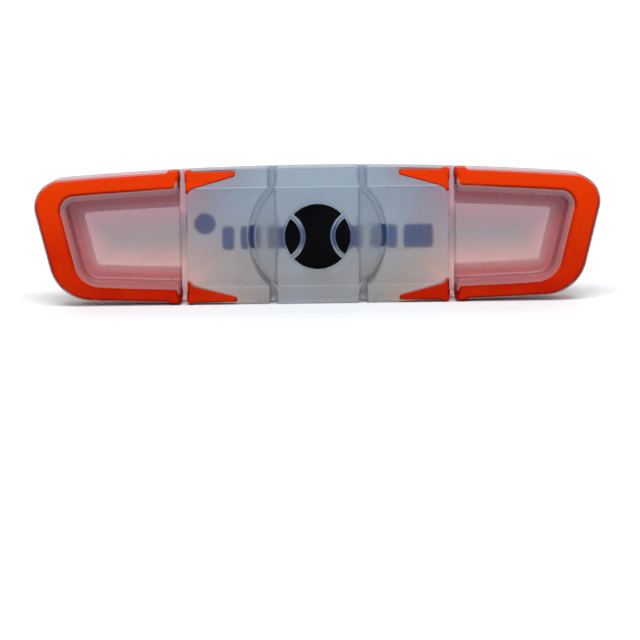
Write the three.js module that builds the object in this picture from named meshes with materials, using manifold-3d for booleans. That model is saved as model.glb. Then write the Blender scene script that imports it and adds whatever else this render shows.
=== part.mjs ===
// A long vibration dampener for a tennis racket: a milky silicone strip that is woven onto four main
// strings. Orange end frames and fins, a black ball emblem and a row of dark back marks are moulded
// into it as separate shots.
//
// Units are millimetres. X runs along the strip, Z across it (+Z is the wider long edge) and the front
// face looks along -Y. The origin is the middle of the string bed. "Level" means distance in front of
// the string bed, so a level of +4 is the plane y = -4.

import * as THREE from "three";
import { mergeVertices } from "three/addons/utils/BufferGeometryUtils.js";
import Module from "manifold-3d";

const wasm = await Module();
wasm.setup();

// ---------------------------------------------------------------- driving dimensions

const stripLength = 95.4; // over the two upper corners, the widest place
const stripWidth = 23.2; // across the middle
const stripThickness = 8; // back face to the front of the centre plate
const frontLevel = 4; // front of the centre plate, in front of the string bed

const upperBow = 580; // radius of the gently bowed upper edge
const lowerBow = 800; // radius of the flatter lower edge
const endSlant = THREE.MathUtils.degToRad(13.3); // how far each end leans in towards the lower edge
const upperCorner = 4.6; // corner radii of the outline
const lowerCorner = 7.5;

const plateStep = 0.25; // the centre plate stands this proud of the rest of the front
const flatHalfWidth = 8.4; // the front is flat out to here, then slopes to the long edges
const edgeDrop = 0.9; // how much the slope has fallen at the widest place of the strip

const stringDiameter = 1.3;
const stringPitch = 15.2; // spacing of the main strings, one string in each groove
const stringFit = 0.25; // free height over a string that lies under the disc
const mouthWidth = 2.2; // small V where each groove breaks the long edges
const mouthDepth = 0.5;

const discRadius = 10.8; // round flange that covers the two inner strings
const discSlot = 0.9; // open arc between the flange and the strip beside it
const dishRadius = 6.7; // shallow dish that carries the emblem
const dishDepth = 0.3;

const bondGap = 0.3; // clearance round every piece that is moulded into another
const orangeProud = 0.15; // the orange pieces stand this proud of the flat front
const rimWall = 0.4; // milky wall outside the orange pieces
const lipWall = 0.4; // milky lip between an end frame and its window

const upperArm = 2.85; // widths of the end frame
const frameEnd = 4.0;
const lowerArm = 2.65;
const frameUpperRadius = 1.9; // inner corner radii of the end frame
const frameLowerRadius = 3.6;
const frameHeight = 4.9; // from the crown of its bead down to the underside of its flange
const frameRoll = 0.55; // rounded shoulder of the bead
const flangeReach = 2.4; // hidden flange, past the frame's inner edge
const flangeThickness = 1.2;
const windowDepth = 2.15; // recessed window inside each end frame

const finLength = 8.4; // fins on the inner side of the outer grooves
const finBase = 2.7;
const finTipRadius = 0.35;
const finHeight = 2.7;
const finRoll = 0.25;
const frameTab = 1.7; // tabs that carry the orange out to the long edges beside the grooves
const finTab = 0.85;
const tabProud = 0.25; // height of the tabs over the long edges

const emblemDiameter = 11;
const emblemHeight = 0.65;
const seamRadius = 4.1; // the two curved seams that split the ball
const seamCentre = 6.6;
const seamGap = 0.9;

const markHeight = 4.1; // dark marks inlaid in the back
const markDepth = 0.5;
const markSpacing = 1.05;
const markCorner = 0.7;
const markWidths = [5.1, 4.7, 5.9, 4.7, 3.9, 3.5, 2.1]; // from the right-hand end
const markStart = 19.8;
const markDrop = 0.75; // the row of bars runs this far below the middle of the strip
const markDotRadius = 1.85;
const markDotRaise = 1.75; // and the dot sits this far above it

const leastCorner = 0.4; // no inner corner is sharper than this
const arcSteps = 6; // divisions of each half arc
const overrun = 2; // how far a cutter runs past the face that it opens

const colours = { milky: 0xb4b4c0, orange: 0xec4205, black: 0x060607, ink: 0x1f4a78 };

// ---------------------------------------------------------------- worked-out places

const backLevel = frontLevel - stripThickness;
const midLevel = frontLevel - plateStep;
const orangeLevel = midLevel + orangeProud;
const cutLevel = frontLevel + overrun;
const tabLevel = midLevel - edgeDrop + tabProud;
const grooveFloor = -stringDiameter / 2;
const flangeUnderside = stringDiameter / 2 + stringFit;
const innerGroove = stringPitch / 2;
const outerGroove = 1.5 * stringPitch;
const grooveHalf = stringDiameter / 2;
const frameInset = rimWall + bondGap;
const upperBowCentre = new THREE.Vector2(0, stripWidth / 2 - upperBow);
const lowerBowCentre = new THREE.Vector2(0, lowerBow - stripWidth / 2);

// The slanted end is a line: outward normal, and the direction that runs down along it.
const endNormal = new THREE.Vector2(Math.cos(endSlant), -Math.sin(endSlant));
const endDown = new THREE.Vector2(-Math.sin(endSlant), -Math.cos(endSlant));
const endWall = endWallDistance();

function endWallDistance() {
  const x = stripLength / 2 - upperCorner;
  const z = upperBowCentre.y + Math.sqrt((upperBow - upperCorner) ** 2 - x ** 2);
  return endNormal.dot(new THREE.Vector2(x, z)) + upperCorner;
}

function upperEdge(x) {
  return upperBowCentre.y + Math.sqrt(upperBow ** 2 - x ** 2);
}

function lowerEdge(x) {
  return lowerBowCentre.y - Math.sqrt(lowerBow ** 2 - x ** 2);
}

// ---------------------------------------------------------------- solids

function solidFrom(geometry) {
  const bare = new THREE.BufferGeometry();
  bare.setAttribute("position", geometry.getAttribute("position"));
  if (geometry.index) bare.setIndex(geometry.index);
  const merged = mergeVertices(bare, 1e-5);
  const mesh = new wasm.Mesh({
    numProp: 3,
    vertProperties: new Float32Array(merged.getAttribute("position").array),
    triVerts: new Uint32Array(merged.index.array),
  });
  return new wasm.Manifold(mesh);
}

const frontView = new THREE.Matrix4().makeBasis(
  new THREE.Vector3(1, 0, 0),
  new THREE.Vector3(0, 0, 1),
  new THREE.Vector3(0, -1, 0),
);
const sideView = new THREE.Matrix4().makeBasis(
  new THREE.Vector3(0, 0, 1),
  new THREE.Vector3(0, -1, 0),
  new THREE.Vector3(1, 0, 0),
);

// A front-view outline raised from one level to another.
function slab(shape, from, to) {
  const geometry = new THREE.ExtrudeGeometry(shape, {
    depth: to - from,
    bevelEnabled: false,
    curveSegments: arcSteps,
  });
  geometry.translate(0, 0, from);
  geometry.applyMatrix4(frontView);
  return solidFrom(geometry);
}

// The same with a rounded shoulder round its front face.
function crowned(shape, from, to, roll) {
  const geometry = new THREE.ExtrudeGeometry(shape, {
    depth: to - from - 2 * roll,
    bevelThickness: roll,
    bevelSize: roll,
    bevelOffset: -roll,
    bevelSegments: 3,
    curveSegments: arcSteps,
  });
  geometry.translate(0, 0, from + roll);
  geometry.applyMatrix4(frontView);
  return solidFrom(geometry).add(slab(shape, from, to - roll));
}

function disc(x, z, radius, from, to) {
  const shape = new THREE.Shape();
  shape.absarc(x, z, radius, 0, 2 * Math.PI, false);
  const geometry = new THREE.ExtrudeGeometry(shape, {
    depth: to - from,
    bevelEnabled: false,
    curveSegments: 4 * arcSteps,
  });
  geometry.translate(0, 0, from);
  geometry.applyMatrix4(frontView);
  return solidFrom(geometry);
}

// A box between two corners, which can be given in either order.
function block(x0, x1, z0, z1, from, to) {
  const geometry = new THREE.BoxGeometry(Math.abs(x1 - x0), to - from, Math.abs(z1 - z0));
  geometry.translate((x0 + x1) / 2, -(from + to) / 2, (z0 + z1) / 2);
  return solidFrom(geometry);
}

// ---------------------------------------------------------------- outlines

// Centre of the round corner between the slanted end and a bowed edge.
function cornerCentre(bowCentre, bowRadius, wall, radius, side) {
  const reach = wall - radius;
  const along = endDown.dot(bowCentre);
  const gap = (bowRadius - radius) ** 2 - bowCentre.lengthSq() - reach ** 2;
  const root = Math.sqrt(gap + 2 * reach * endNormal.dot(bowCentre) + along ** 2);
  return endNormal.clone().multiplyScalar(reach).addScaledVector(endDown, along + side * root);
}

// One end of the strip, from x = start out to the slanted end, set in from the outline by three insets.
function endPoints(start, insets, radii) {
  const upper = upperBow - insets.upper;
  const lower = lowerBow - insets.lower;
  const wall = endWall - insets.end;
  const high = cornerCentre(upperBowCentre, upper, wall, radii.upper, -1);
  const low = cornerCentre(lowerBowCentre, lower, wall, radii.lower, 1);
  const highTurn = high.clone().sub(upperBowCentre).angle();
  const lowTurn = low.clone().sub(lowerBowCentre).angle();
  const path = new THREE.Path();
  path.absarc(0, upperBowCentre.y, upper, Math.acos(start / upper), highTurn, true);
  path.absarc(high.x, high.y, radii.upper, highTurn, -endSlant, true);
  path.absarc(low.x, low.y, radii.lower, -endSlant, lowTurn, true);
  path.absarc(0, lowerBowCentre.y, lower, lowTurn, -Math.acos(start / lower), true);
  return path.getPoints(arcSteps);
}

function mirrored(points) {
  return points.map((point) => new THREE.Vector2(-point.x, point.y)).reverse();
}

function stripOutline() {
  const insets = { upper: 0, lower: 0, end: 0 };
  const right = endPoints(0, insets, { upper: upperCorner, lower: lowerCorner });
  const left = mirrored(right);
  return new THREE.Shape([...right, ...left.slice(1, -1)]);
}

// Insets of the inner edge of an end frame, moved on by extra.
function innerInsets(extra) {
  return {
    upper: frameInset + upperArm + extra,
    lower: frameInset + lowerArm + extra,
    end: frameInset + frameEnd + extra,
  };
}

function innerRadii(extra) {
  return {
    upper: Math.max(frameUpperRadius - extra, leastCorner),
    lower: Math.max(frameLowerRadius - extra, leastCorner),
  };
}

// U-shaped band between the outer line of an end frame and a line past its inner edge. A positive grow
// widens it all round.
function frameBand(reach, grow, side) {
  const start = outerGroove + grooveHalf - grow;
  const inset = frameInset - grow;
  const outer = endPoints(
    start,
    { upper: inset, lower: inset, end: inset },
    { upper: upperCorner - inset, lower: lowerCorner - inset },
  );
  const inner = endPoints(start, innerInsets(reach + grow), innerRadii(reach + grow));
  const right = [...outer, ...inner.reverse()];
  return new THREE.Shape(side > 0 ? right : mirrored(right));
}

function windowOutline(side) {
  const inset = bondGap + lipWall;
  const right = endPoints(outerGroove, innerInsets(inset), innerRadii(inset));
  return new THREE.Shape(side > 0 ? right : mirrored(right));
}

// Long rounded wedge beside an outer groove. The edge function gives the long edge that it follows.
function finOutline(side, edge, grow) {
  const up = Math.sign(edge(0));
  const base = outerGroove - grooveHalf + grow;
  const tip = outerGroove - grooveHalf - finLength + finTipRadius;
  const radius = finTipRadius + grow;
  const baseOuter = new THREE.Vector2(base, Math.abs(edge(base)) - frameInset + grow);
  const baseInner = new THREE.Vector2(base, Math.abs(edge(base)) - frameInset - finBase - grow);
  const centre = new THREE.Vector2(tip, Math.abs(edge(tip)) - frameInset - finTipRadius);
  const away = baseInner.clone().sub(centre);
  const tangent = away.angle() - Math.acos(radius / away.length());
  const roundTip = new THREE.Path().absarc(centre.x, centre.y, radius, Math.PI / 2, tangent, false);
  const points = [baseOuter, ...roundTip.getPoints(arcSteps), baseInner];
  return new THREE.Shape(points.map((point) => new THREE.Vector2(side * point.x, up * point.y)));
}

function roundedBar(x0, x1, z0, z1, radius) {
  const shape = new THREE.Shape();
  shape.absarc(x1 - radius, z1 - radius, radius, 0, Math.PI / 2, false);
  shape.absarc(x0 + radius, z1 - radius, radius, Math.PI / 2, Math.PI, false);
  shape.absarc(x0 + radius, z0 + radius, radius, Math.PI, 1.5 * Math.PI, false);
  shape.absarc(x1 - radius, z0 + radius, radius, 1.5 * Math.PI, 2 * Math.PI, false);
  return shape;
}

// ---------------------------------------------------------------- shared cutters

// Six-sided section of the strip: flat back, flat front band and two slopes to the long edges.
function facetedBar(front) {
  const half = stripWidth / 2;
  const section = new THREE.Shape();
  section.moveTo(-half - overrun, backLevel);
  section.lineTo(half + overrun, backLevel);
  section.lineTo(half + overrun, backLevel + overrun);
  section.lineTo(half, front - edgeDrop);
  section.lineTo(flatHalfWidth, front);
  section.lineTo(-flatHalfWidth, front);
  section.lineTo(-half, front - edgeDrop);
  section.lineTo(-half - overrun, backLevel + overrun);
  const geometry = new THREE.ExtrudeGeometry(section, { depth: stripLength, bevelEnabled: false });
  geometry.translate(0, 0, -stripLength / 2);
  geometry.applyMatrix4(sideView);
  return solidFrom(geometry);
}

// Small V where a groove leaves the strip through a long edge.
function grooveMouth(x, edge) {
  const outward = Math.sign(edge(0));
  const z = edge(x);
  const shape = new THREE.Shape([
    new THREE.Vector2(x - mouthWidth / 2, z),
    new THREE.Vector2(x, z - outward * mouthDepth),
    new THREE.Vector2(x + mouthWidth / 2, z),
    new THREE.Vector2(x + mouthWidth / 2, z + outward * overrun),
    new THREE.Vector2(x - mouthWidth / 2, z + outward * overrun),
  ]);
  return slab(shape, grooveFloor, cutLevel);
}

const grooveMouths = [-outerGroove, -innerGroove, innerGroove, outerGroove]
  .flatMap((x) => [grooveMouth(x, upperEdge), grooveMouth(x, lowerEdge)])
  .reduce((all, mouth) => all.add(mouth));

const stripSlab = slab(stripOutline(), backLevel, frontLevel);

// Tab that carries the orange out past a long edge, beside an outer groove.
function tab(side, start, end, edge, floor, top) {
  const z = edge(outerGroove);
  const outward = Math.sign(z);
  const inside = z - outward * (frameInset + frameRoll);
  return block(side * start, side * end, inside, z + outward * overrun, floor, top);
}

// ---------------------------------------------------------------- orange pieces

const frameFloor = orangeLevel - frameHeight;
const finFloor = orangeLevel - finHeight;

function frameTabs(side, grow, top) {
  const start = outerGroove + grooveHalf - grow;
  const end = outerGroove + grooveHalf + frameTab + grow;
  const upper = tab(side, start, end, upperEdge, frameFloor, top);
  return upper.add(tab(side, start, end, lowerEdge, frameFloor, top));
}

function frameFlange(side, grow) {
  return slab(frameBand(flangeReach, grow, side), frameFloor, frameFloor + flangeThickness);
}

function endFrame(side) {
  const bead = crowned(frameBand(0, 0, side), frameFloor, orangeLevel, frameRoll);
  const tabs = frameTabs(side, 0, tabLevel).intersect(stripSlab);
  return bead.add(frameFlange(side, 0)).add(tabs).subtract(grooveMouths);
}

// Space in the milky body for an end frame, with its clearance.
function framePocket(side) {
  const bead = slab(frameBand(0, bondGap, side), frameFloor, cutLevel);
  return bead.add(frameFlange(side, bondGap)).add(frameTabs(side, bondGap, cutLevel));
}

function finTabBlock(side, edge, grow, top) {
  const end = outerGroove - grooveHalf + grow;
  const start = outerGroove - grooveHalf - finTab - grow;
  return tab(side, start, end, edge, finFloor, top);
}

function fin(side, edge) {
  const bead = crowned(finOutline(side, edge, 0), finFloor, orangeLevel, finRoll);
  const edgeTab = finTabBlock(side, edge, 0, tabLevel).intersect(stripSlab);
  return bead.add(edgeTab).subtract(grooveMouths);
}

function finPocket(side, edge) {
  const bead = slab(finOutline(side, edge, bondGap), finFloor, cutLevel);
  return bead.add(finTabBlock(side, edge, bondGap, cutLevel));
}

// ---------------------------------------------------------------- emblem and back marks

// A ball with two curved seams: left cap, middle and right cap.
function emblemPieces() {
  const from = frontLevel - dishDepth;
  const to = from + emblemHeight;
  const ball = disc(0, 0, emblemDiameter / 2, from, to);
  const cap = (side, radius) => disc(side * seamCentre, 0, radius, from, to);
  const seamInside = seamRadius - seamGap / 2;
  const seamOutside = seamRadius + seamGap / 2;
  return {
    emblem_left: ball.intersect(cap(-1, seamInside)),
    emblem_middle: ball.subtract(cap(-1, seamOutside)).subtract(cap(1, seamOutside)),
    emblem_right: ball.intersect(cap(1, seamInside)),
  };
}

// The row of bars and its dot, each grown by the given amount, from the back face inwards.
function backMarks(grow) {
  const to = backLevel + markDepth;
  const from = grow > 0 ? backLevel - overrun : backLevel;
  const top = markHeight / 2 - markDrop + grow;
  const bottom = -markHeight / 2 - markDrop - grow;
  const marks = {};
  let right = markStart;
  markWidths.forEach((width, index) => {
    const bar = roundedBar(right - width - grow, right + grow, bottom, top, markCorner + grow);
    marks[`back_mark_bar_${index + 1}`] = slab(bar, from, to);
    right -= width + markSpacing;
  });
  marks.back_mark_dot = disc(right - markDotRadius, markDotRaise, markDotRadius + grow, from, to);
  return marks;
}

// ---------------------------------------------------------------- milky body

const sides = [
  { name: "left", sign: -1 },
  { name: "right", sign: 1 },
];
const edges = [
  { name: "upper", line: upperEdge },
  { name: "lower", line: lowerEdge },
];

// Channel for an inner string: a straight groove that widens, under the disc, to the open arc.
function innerChannel(side) {
  const half = stripWidth / 2 + overrun;
  const inside = side * (innerGroove - grooveHalf);
  const outside = side * (innerGroove + grooveHalf);
  const slotRadius = discRadius + discSlot;
  const beyond = side * (slotRadius + overrun);
  const straight = block(inside, outside, -half, half, grooveFloor, cutLevel);
  const pastSeat = block(inside, beyond, -half, half, grooveFloor, cutLevel);
  return straight.add(disc(0, 0, slotRadius, grooveFloor, cutLevel).intersect(pastSeat));
}

function outerChannel(side) {
  const half = stripWidth / 2 + overrun;
  const x = side * outerGroove;
  return block(x - grooveHalf, x + grooveHalf, -half, half, grooveFloor, cutLevel);
}

// Raised band across the strip with the round flange over the inner strings.
function centrePlate() {
  const half = innerGroove - grooveHalf;
  const reach = stripWidth / 2 + overrun;
  const band = block(-half, half, -reach, reach, flangeUnderside, frontLevel);
  const flange = disc(0, 0, discRadius, flangeUnderside, frontLevel);
  return band.add(flange).intersect(stripSlab).intersect(facetedBar(frontLevel));
}

function milkyBody() {
  let body = stripSlab.intersect(facetedBar(midLevel));
  for (const side of sides) {
    body = body.subtract(innerChannel(side.sign)).subtract(outerChannel(side.sign));
    body = body.subtract(slab(windowOutline(side.sign), midLevel - windowDepth, cutLevel));
    body = body.subtract(framePocket(side.sign));
    for (const edge of edges) body = body.subtract(finPocket(side.sign, edge.line));
  }
  body = body.add(centrePlate()).subtract(grooveMouths);
  body = body.subtract(disc(0, 0, dishRadius, frontLevel - dishDepth, cutLevel));
  for (const mark of Object.values(backMarks(bondGap))) body = body.subtract(mark);
  return body;
}

// ---------------------------------------------------------------- scene

const finishes = {
  milky: { color: colours.milky, roughness: 0.35, metalness: 0 },
  orange: { color: colours.orange, roughness: 0.45, metalness: 0 },
  black: { color: colours.black, roughness: 0.4, metalness: 0 },
  ink: { color: colours.ink, roughness: 0.5, metalness: 0 },
};

const dampener = new THREE.Group();

function addPiece(name, solid, finish) {
  const mesh = solid.getMesh();
  const geometry = new THREE.BufferGeometry();
  geometry.setAttribute("position", new THREE.BufferAttribute(new Float32Array(mesh.vertProperties), 3));
  geometry.setIndex(new THREE.BufferAttribute(new Uint32Array(mesh.triVerts), 1));
  geometry.computeVertexNormals();
  const piece = new THREE.Mesh(geometry, new THREE.MeshStandardMaterial(finishes[finish]));
  piece.name = name;
  dampener.add(piece);
}

addPiece("body", milkyBody(), "milky");
for (const side of sides) {
  addPiece(`end_frame_${side.name}`, endFrame(side.sign), "orange");
  for (const edge of edges) addPiece(`fin_${edge.name}_${side.name}`, fin(side.sign, edge.line), "orange");
}
for (const [name, solid] of Object.entries(emblemPieces())) addPiece(name, solid, "black");
for (const [name, solid] of Object.entries(backMarks(0))) addPiece(name, solid, "ink");

export default dampener;
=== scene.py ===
"""Moulded silicone vibration dampener for a tennis racket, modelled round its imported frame.

X runs along the strip, the front face looks along -Y and +Z points at the wider long edge. Every length
is in metres. "Level" is distance in front of the string bed, so a level of 4 mm is the plane y = -4 mm.
The pieces are grown from distance functions, as a mould maker describes a cavity: each function says how
far a point lies outside the piece, and rounded joins of such functions give every fillet and bead.
"""

import math

import bpy
import numpy as np
from bpy.props import FloatProperty, FloatVectorProperty, PointerProperty
from mathutils import Euler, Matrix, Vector


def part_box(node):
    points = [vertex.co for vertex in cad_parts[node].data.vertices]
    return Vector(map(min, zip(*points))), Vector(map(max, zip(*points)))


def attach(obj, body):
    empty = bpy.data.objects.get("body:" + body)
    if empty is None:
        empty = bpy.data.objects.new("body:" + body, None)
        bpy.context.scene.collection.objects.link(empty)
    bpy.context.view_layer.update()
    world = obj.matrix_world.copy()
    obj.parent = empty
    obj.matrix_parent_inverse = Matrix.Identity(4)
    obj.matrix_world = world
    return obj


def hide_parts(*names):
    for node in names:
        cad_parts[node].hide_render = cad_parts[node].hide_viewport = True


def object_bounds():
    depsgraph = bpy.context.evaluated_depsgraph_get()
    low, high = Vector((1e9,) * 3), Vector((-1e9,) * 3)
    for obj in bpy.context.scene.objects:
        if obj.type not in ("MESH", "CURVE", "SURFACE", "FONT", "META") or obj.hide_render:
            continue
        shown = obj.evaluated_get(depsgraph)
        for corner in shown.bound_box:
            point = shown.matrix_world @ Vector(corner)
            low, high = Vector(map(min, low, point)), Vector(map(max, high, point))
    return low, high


bl_info = {
    "name": "Racket Vibration Dampener",
    "version": (1, 0, 0),
    "blender": (4, 5, 0),
    "location": "View3D > Sidebar > Dampener",
    "description": "Models a woven-on silicone string dampener with its silicone finishes and studio",
    "category": "Object",
}

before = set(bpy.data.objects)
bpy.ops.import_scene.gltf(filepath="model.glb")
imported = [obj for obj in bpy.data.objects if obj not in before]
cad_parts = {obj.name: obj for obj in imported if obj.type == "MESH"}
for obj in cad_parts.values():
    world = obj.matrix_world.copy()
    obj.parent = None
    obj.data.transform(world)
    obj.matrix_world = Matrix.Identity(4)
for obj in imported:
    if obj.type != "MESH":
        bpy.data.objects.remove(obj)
cad_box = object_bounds()

MM = 0.001
SIDES = {"left": -1, "right": 1}
EDGES = {"upper": 1, "lower": -1}

# ------------------------------------------------------------------ places taken from the frame


def span(node, axis):
    """Lowest and highest coordinate of a node along an axis."""
    low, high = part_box(node)
    return low[axis], high[axis]


STRIP_LENGTH = span("body", 0)[1] - span("body", 0)[0]
UPPER_EDGE = span("body", 2)[1]
LOWER_EDGE = span("body", 2)[0]
FRONT = -span("body", 1)[0]
BACK = -span("body", 1)[1]

# The outer grooves run between the fins and the end frames; one string spacing is a third of the way
# between the two outer grooves, and the seat of the strings is centred on the string bed.
GROOVE_INSIDE = span("fin_upper_right", 0)[1]
GROOVE_OUTSIDE = span("end_frame_right", 0)[0]
OUTER_GROOVE = (GROOVE_INSIDE + GROOVE_OUTSIDE) / 2
INNER_GROOVE = OUTER_GROOVE / 3
GROOVE_HALF = (GROOVE_OUTSIDE - GROOVE_INSIDE) / 2
GROOVE_FLOOR = -GROOVE_HALF

ORANGE_TOP = -span("end_frame_right", 1)[0]
ORANGE_FLOOR = -span("end_frame_right", 1)[1]
FIN_FLOOR = -span("fin_upper_right", 1)[1]
FIN_TIP = span("fin_upper_right", 0)[0]
DISH_FLOOR = -span("emblem_middle", 1)[1]
EMBLEM_TOP = -span("emblem_middle", 1)[0]
EMBLEM_RADIUS = span("emblem_middle", 2)[1]


# ------------------------------------------------------------------ sizes and colours a user can change


def length(name, description, default):
    """A length, given in millimetres and shown in the scene's own units."""
    return FloatProperty(name=name, description=description, default=default * MM, unit="LENGTH", precision=5)


def angle(name, description, default):
    """An angle, given in degrees."""
    return FloatProperty(name=name, description=description, default=math.radians(default), subtype="ANGLE")


def colour(name, description, *default):
    """A linear colour."""
    return FloatVectorProperty(
        name=name, description=description, default=default, size=3, subtype="COLOR", min=0, max=1
    )


class StripSizes(bpy.types.PropertyGroup):
    """Shape of the milky strip."""

    upper_bow: length("Upper Bow", "Radius of the bowed upper edge", 580)
    lower_bow: length("Lower Bow", "Radius of the flatter lower edge", 800)
    end_slant: angle("End Slant", "How far each end leans in towards the lower edge", 13.3)
    upper_corner: length("Upper Corner", "Corner radius beside the upper edge", 4.6)
    lower_corner: length("Lower Corner", "Corner radius beside the lower edge", 7.5)
    plate_step: length("Plate Step", "Height of the centre plate over the front", 0.25)
    flat_half: length("Flat Half", "Half width of the flat front band", 8.4)
    edge_drop: length("Edge Drop", "Fall of the sloped band at the long edges", 0.9)
    facet_round: length("Facet Round", "Rounding between the flat and sloped bands", 0.12)
    front_round: length("Front Round", "Rounding of the front edges", 0.25)
    back_round: length("Back Round", "Rounding of the back edges", 0.7)
    groove_round: length("Groove Round", "Rounding of groove mouths and floors", 0.4)
    mouth_half: length("Mouth Half", "Half width of the V where a groove ends", 1.1)
    mouth_depth: length("Mouth Depth", "Depth of the V where a groove ends", 0.55)
    disc_radius: length("Disc Radius", "Radius of the flange over the inner strings", 10.8)
    disc_slot: length("Disc Slot", "Width of the open arc round the flange", 0.9)
    flange_under: length("Flange Underside", "Level of the underside of the flange", 0.9)
    flange_fillet: length("Flange Fillet", "Fillet where the flange leaves the plate", 1.2)
    chamber_round: length("Chamber Round", "Rounding of the space under the flange", 0.7)
    dish_radius: length("Dish Radius", "Radius of the dish that carries the emblem", 6.7)
    dish_round: length("Dish Round", "Softening of the dish's rim", 1.2)
    emblem_lip: length("Emblem Lip", "Width of the raised lip round the emblem", 0.3)
    lip_height: length("Emblem Lip Height", "Height of the lip over the dish", 0.26)
    small_round: length("Small Round", "Rounding of the lips, tabs and mouths", 0.12)


class InsertSizes(bpy.types.PropertyGroup):
    """Shape of the orange end frames and fins."""

    rim: length("Rim", "Milky rim outside the orange pieces", 0.12)
    lip: length("Lip", "Milky lip between an end frame and its window", 0.4)
    upper_arm: length("Upper Arm", "Width of the upper arm of an end frame", 3.4)
    lower_arm: length("Lower Arm", "Width of the lower arm of an end frame", 3.15)
    end_width: length("End Width", "Width of an end frame across the end", 4.75)
    inner_upper: length("Inner Upper Corner", "Inner corner radius, upper", 1.8)
    inner_lower: length("Inner Lower Corner", "Inner corner radius, lower", 3.6)
    crown: length("Crown", "Rounding of the bead's outer shoulder", 0.55)
    inner_crown: length("Inner Crown", "Rounding of the bead's inner shoulder", 1.3)
    bead_lean: angle("Bead Lean", "How far the beads beside the long edges lean outwards", 12)
    lean_start: length("Lean Start", "Height where the beads start to lean", 8.0)
    lean_round: length("Lean Round", "Rounding where the beads start to lean", 0.12)
    bead_end: length("Bead End", "Rounding of a bead where it meets a groove", 0.9)
    fin_crown: length("Fin Crown", "Rounding of the fins", 0.35)
    flange_reach: length("Flange Reach", "Hidden flange past the inner edge", 2.6)
    flange_thickness: length("Flange Thickness", "Thickness of the hidden flange", 1.2)
    window_depth: length("Window Depth", "Depth of the window below the front", 2.15)
    window_fillet: length("Window Fillet", "Fillet round the floor of the window", 0.5)
    fin_wedge: length("Fin Wedge", "Height of a fin's straight wedge at the groove", 3.2)
    fin_base: length("Fin Base", "Height of a fin's flared base", 3.65)
    fin_flare: length("Fin Flare", "Fillet between a fin's wedge and its base", 0.8)
    fin_droop: length("Fin Droop", "How much further in a fin's tip sits than its base", 0.2)
    fin_tip: length("Fin Tip", "Radius of the tip of a fin", 0.5)
    frame_tab: length("Frame Tab", "Width of the tab from a frame to the long edge", 1.7)
    fin_tab: length("Fin Tab", "Width of the tab from a fin to the long edge", 0.85)
    tab_flare: length("Tab Flare", "Fillet where a tab joins its piece", 0.5)
    tab_rise: length("Tab Rise", "Height of a tab over the long edge", 0.3)
    tab_root: length("Tab Root", "How far a tab reaches in from the long edge", 1.6)


class EmblemSizes(bpy.types.PropertyGroup):
    """Shape of the ball emblem and of the marks on the back."""

    seam_radius: length("Seam Radius", "Radius of the curved seams", 4.1)
    seam_centre: length("Seam Centre", "Distance of each seam's centre from the middle", 6.6)
    seam_gap: length("Seam Gap", "Width of the seams", 0.9)
    edge_round: length("Edge Round", "Rounding of the emblem's edges", 0.16)
    mark_corner: length("Mark Corner", "Corner radius of the back marks", 0.7)
    mark_round: length("Mark Round", "Rounding of the marks' buried edges", 0.12)
    root: length("Root", "How far the emblem is buried in its dish", 0.1)


class SiliconeColours(bpy.types.PropertyGroup):
    """Colours of the four silicone shots, and of the painted light and shade laid over them."""

    # Milky and milky lower light: the milky silicone's own colour with painted light, cool from above and
    # warm below.
    milky: colour("Milky", "Translucent strip, beside its wider edge", 0.27, 0.345, 0.43)
    settled: colour("Settled", "Translucent strip, beside its lower edge", 0.30, 0.275, 0.26)
    # Shaded glow, glow and near glow: painted orange glow in the milky silicone, shaded beside the wider edge
    # and strongest right beside the orange.
    shaded_glow: colour("Shaded Glow", "Milky silicone some way from the orange, wider edge", 0.105, 0.008, 0.03)
    glow: colour("Glow", "Milky silicone some way from the orange, lower edge", 0.58, 0.34, 0.22)
    near_glow: colour("Near Glow", "Milky silicone right beside the orange", 1.0, 0.52, 0.59)
    # Buried and glowing: painted light on the hidden flange, which gets little light through the milky
    # silicone.
    buried: colour("Buried", "Hidden flange of the end frames, near the bead", 1.0, 0.27, 0.33)
    thin_edge_glow: colour("Faded", "Hidden flange of the end frames, at its thin inner edge", 1.0, 0.80, 0.80)
    # Lip: painted highlight, a pale line along the thin milky lip beside the orange.
    lip: colour("Lip", "Thin milky lip that borders the orange", 1.0, 0.80, 0.80)
    # Orange and shaded orange: painted shade, the orange darker towards the lower edge where less light
    # falls.
    orange: colour("Orange", "End frames and fins, beside the wider edge", 0.63, 0.030, 0.0003)
    deep: colour("Shaded Orange", "End frames and fins, beside the lower edge", 0.44, 0.010, 0.0004)
    # Bead shoulder shade: painted shade on bead shoulders that fall away from the face and don't face up.
    shoulder: colour("Bead Shoulder Shade", "Shoulders of the orange beads", 0.16, 0.002, 0.0002)
    black: colour("Black", "Emblem", 0.0012, 0.0012, 0.0014)
    ink: colour("Ink", "Marks on the back", 0.004, 0.022, 0.07)
    sunk_ink: colour("Sunk Ink", "Marks as seen through the body", 0.001, 0.16, 0.68)


# ------------------------------------------------------------------ distance functions


def round_max(a, b, radius):
    """Meeting of two pieces, with the edge between them rounded."""
    radius = np.maximum(radius, 1e-9)
    over_a = np.maximum(a + radius, 0)
    over_b = np.maximum(b + radius, 0)
    return np.hypot(over_a, over_b) - radius + np.minimum(np.maximum(a, b) + radius, 0)


def round_min(a, b, radius):
    """Joining of two pieces, with a fillet between them."""
    return -round_max(-a, -b, radius)


def cut(piece, tool, radius):
    """Piece with a tool's shape cut away, and the cut's edge rounded."""
    return round_max(piece, -tool, radius)


def slab(flat, level, low, high, radius):
    """Flat shape raised between two levels, with rounded edges front and back."""
    return round_max(round_max(flat, level - high, radius), low - level, radius)


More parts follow.
